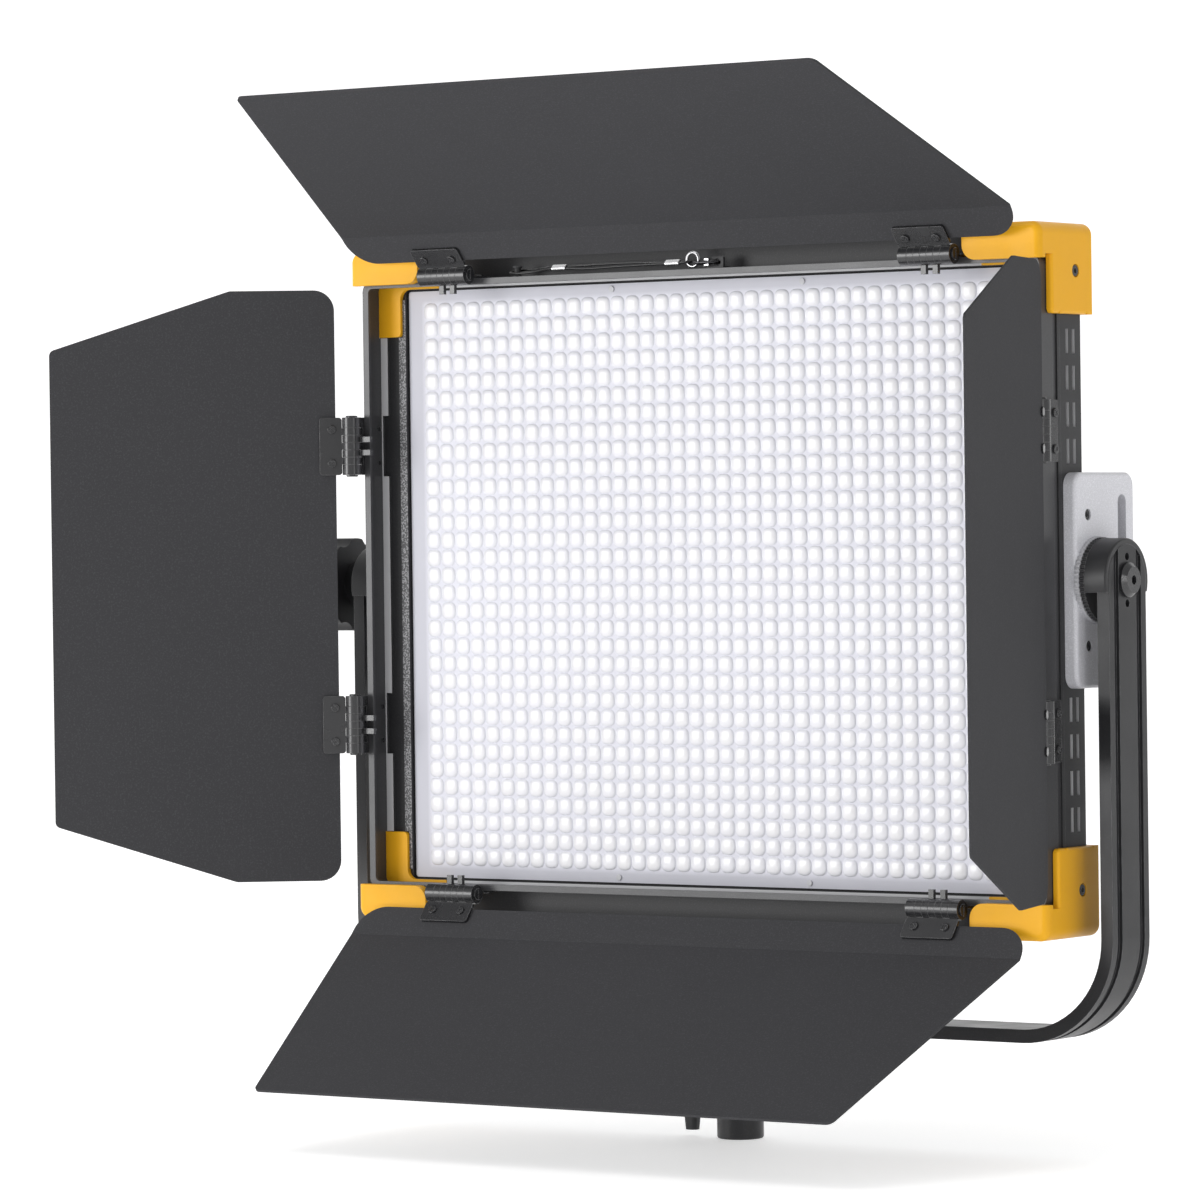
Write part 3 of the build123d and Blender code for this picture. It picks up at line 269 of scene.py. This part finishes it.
def lens_plastic():
    """Frosted white ground of the lens panel, lighter among the lenses than in the border."""
    m = Recipe("lens_plastic", (0.61, 0.61, 0.67), 0.5)
    m.mottle(40 * MM, 2.0, WISPS, 0.25, (0.65, 0.65, 0.71))
    x, _, z = m.place()
    away = (m.math("ABSOLUTE", x), m.math("ABSOLUTE", m.math("SUBTRACT", z, PANEL_CENTRE.z)))
    inside = [m.ramp(value, half + 2 * MM, half - 1 * MM) for value, half in zip(away, GRID_HALF)]
    m.tint(m.times(*inside), (0.76, 0.76, 0.83))
    m.bump(m.noise(0.7 * MM, 2.0), 0.25, 0.03 * MM)
    m.set(Specular_IOR_Level=0.25)
    return m.done()


def dome_plastic():
    """The lenses: whiter at the crown and greyer at the foot as painted light gathered in each lens, and
    faintly warm or cool in turn, as the two colours of diode behind them are."""
    m = Recipe("dome_plastic", (0.78, 0.78, 0.84), 0.3)
    crown = m.add("ShaderNodeAttribute", attribute_name="crown").outputs["Fac"]
    warmth = m.add("ShaderNodeAttribute", attribute_name="warmth").outputs["Fac"]
    # Painted light: each lens is lightened towards its crown to stand in for light gathered in it.
    m.tint(m.ramp(crown, 0.15, 0.95), (0.89, 0.89, 0.93))
    m.tint(m.times(warmth, m.ramp(crown, 0.2, 0.9, 0.0, 0.5)), (0.9, 0.89, 0.88))
    m.bump(m.noise(1.2 * MM, 2.0), 0.15, 0.03 * MM)
    m.set(Specular_IOR_Level=0.4, Coat_Weight=0.5, Coat_Roughness=0.1)
    return m.done()


def soft_seal():
    """Black rubber, dull and slightly dusty."""
    m = Recipe("soft_seal", (0.006, 0.006, 0.007), 0.8)
    m.mottle(0.8 * MM, 3.0, (0.45, 0.7), 0.5, (0.02, 0.02, 0.021))
    m.bump(m.noise(0.5 * MM, 2.0), 0.5, 0.05 * MM)
    return m.done()


def display_glass():
    """A dark, glossy window with nothing lit behind it."""
    m = Recipe("display_glass", (0.008, 0.01, 0.014), 0.08)
    m.mottle(30 * MM, 1.0, WISPS, 0.3, (0.016, 0.02, 0.03))
    m.vary_roughness(m.noise(8 * MM, 3.0), 0.06, 0.12)
    m.set(Coat_Weight=0.8, Coat_Roughness=0.03)
    return m.done()


def bezel_coat():
    """Matt black round the lens panel, with the speckled face of the two raised lips beside it lightened as
    a painted highlight.
    """
    m = Recipe("bezel_coat", (0.018, 0.018, 0.02), 0.5)
    m.soften(0.3 * MM)
    m.mottle(0.9 * MM, 1.0, SPOTS, 0.4, (0.05, 0.05, 0.052))
    _, y, _ = m.place()
    lip = m.ramp(y, LIP_FACE + 0.25 * MM, LIP_FACE + 0.05 * MM)
    speckle = m.ramp(m.noise(1.1 * MM, 1.0), 0.46, 0.6)
    # Painted highlight: the lips' face is lightened, and its speckles more, to stand in for light falling on
    # the speckled coat.
    m.tint(lip, (0.07, 0.07, 0.074))
    m.tint(m.times(lip, speckle), (0.3, 0.3, 0.31))
    m.bump(m.noise(0.9 * MM, 1.0), 0.6, 0.08 * MM)
    return m.done()


def ring_and_hook():
    """Bright steel on the upright ring, dark plated wire on the hook that lies flat through it."""
    m = Recipe("ring_and_hook", (0.45, 0.45, 0.46), 0.12, metallic=1.0)
    x, _, z = m.place()
    level = m.math("ABSOLUTE", m.math("SUBTRACT", z, HOOK_LEVEL))
    flat = m.ramp(level, 1.1 * MM, 0.95 * MM)
    beyond = m.ramp(x, 1.6 * MM, 1.9 * MM)
    m.tint(m.times(flat, beyond), (0.05, 0.05, 0.053))
    m.vary_roughness(m.noise(3 * MM, 3.0), 0.1, 0.2)
    m.bump(m.noise(0.5 * MM, 2.0), 0.2, 0.01 * MM)
    return m.done()


MATERIALS = {
    "yoke": coated_metal("satin_black_extrusion", (0.027, 0.027, 0.029), 0.36, shine=0.35, edge_wear_highlight_strength=0.9,
                         edge_wear_highlight_colour=(0.28, 0.28, 0.29)),
    # The body's span paints light on the rim's slot walls.
    "body": coated_metal("satin_charcoal_coat", (0.024, 0.024, 0.026), 0.42, shine=0.35, edge_wear_highlight_strength=0.9,
                         edge_wear_highlight_colour=(0.22, 0.22, 0.23), painted_light_span=(LENS_FRONT + 7 * MM, LENS_FRONT + 19 * MM, 0.6)),
    "door": coated_metal("matt_black_sheet", (0.056, 0.056, 0.0595), 0.8, grain=0.6 * MM, depth=0.02 * MM,
                         shine=0.05, patches=0.02),
    # The frame's span paints light on the flange behind its hem.
    "door_frame": coated_metal("matt_black_frame", (0.05, 0.05, 0.053), 0.32, patches=0.03,
                               painted_light_span=(LENS_FRONT - 5 * MM, LENS_FRONT, 0.6)),
    "hinge": coated_metal("black_hinge_coat", (0.024, 0.024, 0.026), 0.26, grain=0.4 * MM, shine=0.7,
                          depth=0.03 * MM, edge_wear_highlight_colour=(0.25, 0.25, 0.255), patches=0.03, edge_wear_highlight_strength=0.8),
    "fastener": coated_metal("black_oxide", (0.02, 0.02, 0.022), 0.2, grain=0.25 * MM,
                             edge_wear_highlight_colour=(0.25, 0.25, 0.26), shine=0.8),
    "plate": coated_metal("silver_grey_coat", (0.68, 0.68, 0.72), 0.38, grain=0.4 * MM,
                          edge_wear_highlight_colour=(0.85, 0.85, 0.88)),
    "guard": moulded_plastic("yellow_plastic", (0.88, 0.44, 0.015), 0.4, tone=0.95, shine=0.22),
    "cap": moulded_plastic("black_cap_plastic", (0.024, 0.024, 0.026), 0.4, tone=1.3, edge_wear_highlight_colour=(0.3, 0.3, 0.31)),
    "rosette": moulded_plastic("light_grey_plastic", (0.6, 0.6, 0.63), 0.45),
    "knob": moulded_plastic("black_knob_plastic", (0.022, 0.022, 0.024), 0.5, tone=1.3),
    "socket": moulded_plastic("black_socket_plastic", (0.018, 0.018, 0.02), 0.38, tone=1.3),
    "button": moulded_plastic("grey_key_rubber", (0.25, 0.25, 0.27), 0.6),
    "fascia": moulded_plastic("satin_fascia", (0.022, 0.022, 0.025), 0.35, grain=0.2 * MM, tone=1.3),
    "bezel": bezel_coat(),
    "ring": ring_and_hook(),
    "lens": lens_plastic(),
    "dome": dome_plastic(),
    "seal": soft_seal(),
    "glass": display_glass(),
    "steel": machined_metal("turned_steel", (0.62, 0.62, 0.64), 0.3),
    "sleeve": machined_metal("crimped_aluminium", (0.85, 0.85, 0.86), 0.28),
    "aluminium": machined_metal("rolled_aluminium", (0.75, 0.75, 0.77), 0.4, (1, 1, 8)),
    "board": moulded_plastic("circuit_board", (0.03, 0.16, 0.07), 0.4),
    "rope": moulded_plastic("coated_rope", (0.01, 0.01, 0.011), 0.3, tone=1.4),
}

FINISH = {
    "yoke": ["yoke_bracket", "stand_receiver"],
    "cap": ["arm_caps", "outer_rosettes"],
    "rosette": ["inner_rosettes", "panel_screws"],
    "fastener": ["receiver_bolt", "pivot_bolt", "side_screws", "hinge_pins", "frame_hinge_screws"],
    "ring": ["snap_hook", "hook_gate"],
    "bezel": ["front_bezel"],
    "steel": ["clamp_screw", "tilt_lock_screw"],
    "knob": ["rope_anchor", "clamp_knob", "tilt_knob", "dimmer_knob", "colour_knob"],
    "body": ["body_rim", "rear_cover", "control_housing"],
    "door_frame": ["barndoor_frame"],
    "hinge": ["frame_hinges_sides", "frame_hinges_ends"],
    "plate": ["side_plate_left", "side_plate_right"],
    "guard": ["corner_guard_top_left", "corner_guard_top_right", "corner_guard_bottom_left",
              "corner_guard_bottom_right"],
    "seal": ["panel_gasket"],
    "lens": ["lens_panel"],
    "sleeve": ["rope_ferrules"],
    "rope": ["safety_rope"],
    "aluminium": ["led_board", "heat_sink"],
    "board": ["driver_board"],
    "fascia": ["control_fascia"],
    "glass": ["display"],
    "button": ["menu_button", "mode_button"],
    "socket": ["switch_frame", "switch_rocker", "power_inlet", "data_sockets"],
}
for door_side in ("left", "right", "top", "bottom"):
    FINISH["hinge"].append(f"door_hinges_{door_side}")
    FINISH["fastener"].append(f"door_screws_{door_side}")
    FINISH.setdefault("door", []).append(f"door_{door_side}")


def paint(obj, finish):
    obj.data.materials.clear()
    obj.data.materials.append(MATERIALS[finish])


for finish, names in FINISH.items():
    for name in names:
        paint(NODES[name], finish)


# ---- pieces made here --------------------------------------------------------------------------
def new_object(name, data, body, finish):
    """A new piece that rides on a CAD body and takes a finish."""
    obj = bpy.data.objects.new(name, data)
    bpy.context.collection.objects.link(obj)
    obj.data.materials.append(MATERIALS[finish])
    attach(obj, body)
    return obj


def superellipse(angle, power):
    """A point on a rounded square that reaches 1 on each axis."""
    c, s = math.cos(angle), math.sin(angle)
    return (math.copysign(abs(c) ** (2 / power), c), math.copysign(abs(s) ** (2 / power), s))


def make_lens_domes():
    """The grid of small pillow lenses, each a dome on a rounded square, set a little off its place
    to one side and the other in turn."""
    segments, power, half, sway = 16, 2.8, LENS_PITCH * 0.497, 0.05 * MM
    outline = [superellipse(2 * math.pi * i / segments, power) for i in range(segments)]
    levels = [1.0, 0.93, 0.8, 0.6, 0.33]
    draw = random.Random(7)
    bm = bmesh.new()
    warmth, crown = bm.verts.layers.float.new("warmth"), bm.verts.layers.float.new("crown")
    for column in range(LENS_COLUMNS):
        for row in range(LENS_ROWS):
            turn = (column + row) % 2
            x = (column - (LENS_COLUMNS - 1) / 2) * LENS_PITCH + (sway if turn else -sway)
            z = PANEL_CENTRE.z + (row - (LENS_ROWS - 1) / 2) * LENS_PITCH
            warm = turn * 0.7 + draw.random() * 0.3
            rings = []
            for level in levels:
                rise = math.sqrt(1 - level ** 2)
                y = PANEL_CENTRE.y - LENS_HEIGHT * rise
                rings.append([bm.verts.new((x + px * half * level, y, z + pz * half * level))
                              for px, pz in outline])
                for vert in rings[-1]:
                    vert[crown] = rise
            top = bm.verts.new((x, PANEL_CENTRE.y - LENS_HEIGHT, z))
            top[crown] = 1.0
            for outer, inner in zip(rings, rings[1:]):
                for i in range(segments):
                    j = (i + 1) % segments
                    bm.faces.new((outer[i], outer[j], inner[j], inner[i]))
            for i in range(segments):
                bm.faces.new((rings[-1][i], rings[-1][(i + 1) % segments], top))
            for vert in [top] + [v for ring in rings for v in ring]:
                vert[warmth] = warm
    for face in bm.faces:
        face.smooth = True
    mesh = bpy.data.meshes.new("lens_domes")
    bm.to_mesh(mesh)
    new_object("lens_domes", mesh, "head", "dome")


# The safety rope's route, with the same points as part.py gives its CAD tube, in millimetres: x is
# the frame's, y and z are from the middle of the two strands, which lie side by side on a slant.
ROPE_Y, ROPE_Z, ROPE_RADIUS = -39.8, 533.0, 0.75
LEAN_Y, LEAN_Z = 0.66, 0.54
ROPE_ROUTE = [
    (-102.0, LEAN_Y, LEAN_Z), (-90.0, LEAN_Y, LEAN_Z), (-59.0, 0.9, 1.2), (-27.0, LEAN_Y, LEAN_Z),
    (-8.6, LEAN_Y, LEAN_Z), (-5.6, 2.9, 0.4), (-1.9, 2.1, 0.0), (-1.9, -2.1, 0.0), (-5.6, -2.9, -0.4),
    (-8.6, -LEAN_Y, -LEAN_Z), (-27.0, -LEAN_Y, -LEAN_Z), (-54.0, -0.9, -0.9), (-80.0, -1.1, -1.7),
    (-93.0, -LEAN_Y, -LEAN_Z), (-107.5, -LEAN_Y, -LEAN_Z), (-114.0, -3.9, -2.2), (-128.0, -4.2, -2.8),
    (-136.0, -2.4, -2.4), (-136.2, 2.6, -1.0), (-128.0, 4.3, -0.2), (-114.0, 4.0, 0.0),
    (-107.5, LEAN_Y, LEAN_Z), (-103.5, LEAN_Y, LEAN_Z),
]


def make_rope():
    """The safety rope, doubled back round the anchor stud and the ring, in place of its CAD tube."""
    points = [Vector((x, ROPE_Y + y, ROPE_Z + z)) * MM for x, y, z in ROPE_ROUTE]
    curve = bpy.data.curves.new("safety_rope_cable", "CURVE")
    curve.dimensions = "3D"
    curve.bevel_depth, curve.bevel_resolution = ROPE_RADIUS * MM, 4
    curve.resolution_u = 16
    curve.use_fill_caps = True
    spline = curve.splines.new("NURBS")
    spline.points.add(len(points) - 1)
    for slot, place in zip(spline.points, points):
        slot.co = (*place, 1)
    spline.order_u = 3
    spline.use_endpoint_u = True
    rope = new_object("safety_rope_cable", curve, "head", "rope")
    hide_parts("safety_rope")


make_lens_domes()
make_rope()


# ---- stage, lights and camera -----------------------------------------------------------------
def make_floor():
    """A pale floor that rises into a backdrop far behind the light, square to the camera."""
    bm = bmesh.new()
    rows = [(FLOOR_NEAR, 0.0), (FLOOR_FAR, 0.0)]
    for step in range(1, BACKDROP_STEPS + 1):
        a = math.pi / (2 * BACKDROP_STEPS) * step
        rise = BACKDROP_RADIUS - BACKDROP_RADIUS * math.cos(a)
        rows.append((FLOOR_FAR + BACKDROP_RADIUS * math.sin(a), rise))
    rows.append((FLOOR_FAR + BACKDROP_RADIUS, BACKDROP_TOP))
    toward = Vector((-math.sin(math.radians(CAMERA_AZIMUTH)), math.cos(math.radians(CAMERA_AZIMUTH)), 0))
    across = Vector((toward.y, -toward.x, 0))
    ends = (-FLOOR_HALF_WIDTH, FLOOR_HALF_WIDTH)
    lines = [[bm.verts.new(toward * d + across * s + Vector((0, 0, z))) for s in ends] for d, z in rows]
    for a, b in zip(lines, lines[1:]):
        bm.faces.new((a[0], a[1], b[1], b[0]))
    mesh = bpy.data.meshes.new("floor")
    bm.to_mesh(mesh)
    floor = bpy.data.objects.new("floor", mesh)
    bpy.context.collection.objects.link(floor)
    for face in mesh.polygons:
        face.use_smooth = True
    m = Recipe("pale_floor", (0.9, 0.9, 0.9), 0.7)
    m.tint(m.ramp(m.noise(1.2, 2.0), 0.3, 0.7, 0.0, 1.0), (0.88, 0.88, 0.88))
    m.set(Emission_Strength=FLOOR_GLOW)
    m.shader.inputs["Emission Color"].default_value = (1, 1, 1, 1)
    mesh.materials.append(m.done())


def area_light(name, place, size, power):
    """A rectangular white light turned to the lens panel."""
    data = bpy.data.lights.new(name, "AREA")
    data.shape = "RECTANGLE"
    data.size, data.size_y = size
    data.energy = power
    light = bpy.data.objects.new(name, data)
    light.location = place
    light.rotation_euler = (PANEL_CENTRE - Vector(place)).to_track_quat("-Z", "Y").to_euler()
    bpy.context.collection.objects.link(light)


def make_camera():
    data = bpy.data.cameras.new("camera")
    data.lens, data.sensor_width = CAMERA_LENS, CAMERA_SENSOR
    data.clip_end = CAMERA_REACH
    camera = bpy.data.objects.new("camera", data)
    azimuth, elevation, roll = (math.radians(a) for a in (CAMERA_AZIMUTH, CAMERA_ELEVATION, CAMERA_ROLL))
    turn = Matrix.Rotation(azimuth, 4, "Z") @ Matrix.Rotation(math.pi / 2 - elevation, 4, "X")
    place = Matrix.Translation(PANEL_CENTRE + CAMERA_OFFSET)
    camera.matrix_world = place @ turn @ Matrix.Rotation(roll, 4, "Z")
    bpy.context.collection.objects.link(camera)
    bpy.context.scene.camera = camera


def make_world():
    world = bpy.data.worlds.new("studio")
    world.use_nodes = True
    background = world.node_tree.nodes["Background"]
    background.inputs["Color"].default_value = (1, 1, 1, 1)
    background.inputs["Strength"].default_value = WORLD_STRENGTH
    bpy.context.scene.world = world
    bpy.context.scene.view_settings.view_transform = "Standard"


make_floor()
make_world()
make_camera()
for light_name, light_place, light_size, watts in LIGHTS:
    area_light(light_name, light_place, light_size, watts)
